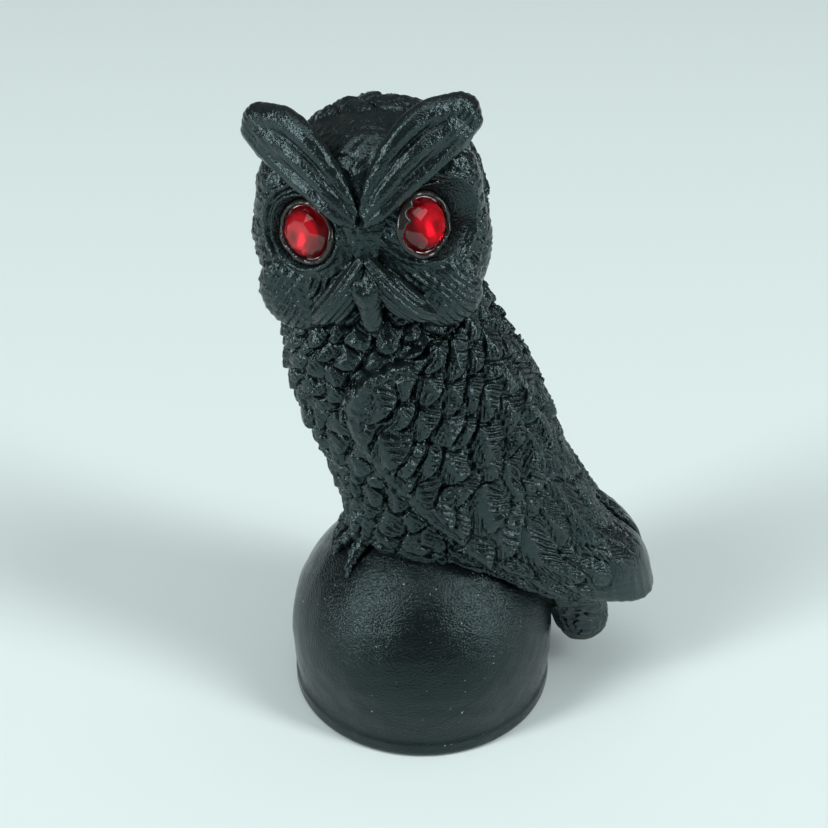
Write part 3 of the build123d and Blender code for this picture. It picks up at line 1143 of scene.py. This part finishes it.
def glue_mesh(name, side):
    """An uneven bead of glue round the stone, crept over its edge in places."""
    shape = bmesh.new()
    swell = np.random.default_rng(7 + side).uniform(0, 6.28, 6)
    loop = []
    for k in range(GLUE_STEPS):
        t = 2 * math.pi * k / GLUE_STEPS
        wave = sum(size * math.sin(n * t + start) for (n, size), start in zip(GLUE_WAVES, swell))
        smear = glue_smear(t, side, swell[3])
        ring = []
        for s in range(GLUE_SECTION):
            a = 2 * math.pi * s / GLUE_SECTION
            over = smear * (1 - math.cos(a)) / 2
            r = GLUE_RING_RADIUS + (0.38 + 0.2 * wave) * math.cos(a) - over
            z = GLUE_RING_HEIGHT + (0.5 + wave) * math.sin(a) + 1.5 * over
            ring.append(shape.verts.new((r * math.cos(t) * MM, r * math.sin(t) * MM, z * MM)))
        loop.append(ring)
    for here, there in zip(loop, loop[1:] + loop[:1]):
        for s in range(GLUE_SECTION):
            t = (s + 1) % GLUE_SECTION
            shape.faces.new((here[s], there[s], there[t], here[t]))
    bmesh.ops.recalc_face_normals(shape, faces=shape.faces)
    mesh = bpy.data.meshes.new(name)
    shape.to_mesh(mesh)
    shape.free()
    return mesh


for side, word in ((1, "left"), (-1, "right")):
    stone = stone_mesh(f"{word}_red_stone", STONE_TURN[side])
    foil = lathe_mesh(f"{word}_foil", FOIL_CUP, 64)
    glue = glue_mesh(f"{word}_glue_bead", side)
    for mesh in (stone, foil, glue):
        place_eye(mesh, side)
    finish_piece(f"{word}_red_stone", stone, f"{word}_eye_stone", glass, smooth=False)
    finish_piece(f"{word}_foil", foil, f"{word}_eye_foil", metal)
    finish_piece(f"{word}_glue_bead", glue, f"{word}_eye_glue", glue_black)

# ---------------------------------------------------------------- studio
FLOOR_HALF = 3.0


def pale_tabletop():
    floor_material, nodes, links, shade = new_material("pale_tabletop")
    shade.inputs["Base Color"].default_value = (0.70, 0.815, 0.81, 1)
    shade.inputs["Roughness"].default_value = 0.85
    mesh = bpy.data.meshes.new("floor")
    corners = [(-1, -1), (1, -1), (1, 1), (-1, 1)]
    mesh.from_pydata([(x * FLOOR_HALF, y * FLOOR_HALF, 0) for x, y in corners], [], [(0, 1, 2, 3)])
    mesh.materials.append(floor_material)
    floor = bpy.data.objects.new("floor", mesh)
    bpy.context.collection.objects.link(floor)
    return floor


floor = pale_tabletop()


LIGHT_AIM_HEIGHT = 0.05


def direction(azimuth, elevation):
    """Unit vector towards a place seen at an azimuth from the owl's front and an elevation."""
    a, e = math.radians(azimuth), math.radians(elevation)
    return Vector((math.sin(a) * math.cos(e), -math.cos(a) * math.cos(e), math.sin(e)))


def facing(way):
    return (-way).to_track_quat("-Z", "Y").to_euler()


def softbox(name, azimuth, elevation, distance, size, power):
    lamp = bpy.data.lights.new(name, "AREA")
    lamp.shape = "RECTANGLE"
    lamp.size, lamp.size_y = size
    lamp.energy = power
    box = bpy.data.objects.new(name, lamp)
    spot = direction(azimuth, elevation) * distance
    box.location = Vector((0, 0, LIGHT_AIM_HEIGHT)) + spot
    box.rotation_euler = facing(spot)
    bpy.context.collection.objects.link(box)


softbox("left_softbox", -54, 33, 1.3, (0.26, 1.35), 13)
softbox("right_softbox", 72, 33, 1.3, (0.26, 1.35), 13)
softbox("overhead_softbox", 0, 89, 1.7, (1.3, 1.3), 8)
world = bpy.data.worlds.new("studio")
world.use_nodes = True
surround = world.node_tree.nodes["Background"]
surround.inputs["Color"].default_value = (0.80, 0.88, 0.88, 1)
surround.inputs["Strength"].default_value = 0.16
bpy.context.scene.world = world

CAMERA_AZIMUTH, CAMERA_ELEVATION = 8.0, 32.87
CAMERA_DISTANCE = 0.223
AIM_HEIGHT = 50.08
AIM_LEFT = 1.33
turn = math.radians(CAMERA_AZIMUTH)
target = Vector((-AIM_LEFT * math.cos(turn), -AIM_LEFT * math.sin(turn), AIM_HEIGHT)) * MM
back = direction(CAMERA_AZIMUTH, CAMERA_ELEVATION)
camera_data = bpy.data.cameras.new("camera")
camera_data.lens = 65.2
camera_data.sensor_width = 36.0
camera_data.clip_start = 0.01
camera = bpy.data.objects.new("camera", camera_data)
camera.location = target + back * CAMERA_DISTANCE
camera.rotation_euler = facing(back)
bpy.context.collection.objects.link(camera)
bpy.context.scene.camera = camera
bpy.context.scene.view_settings.view_transform = "Standard"
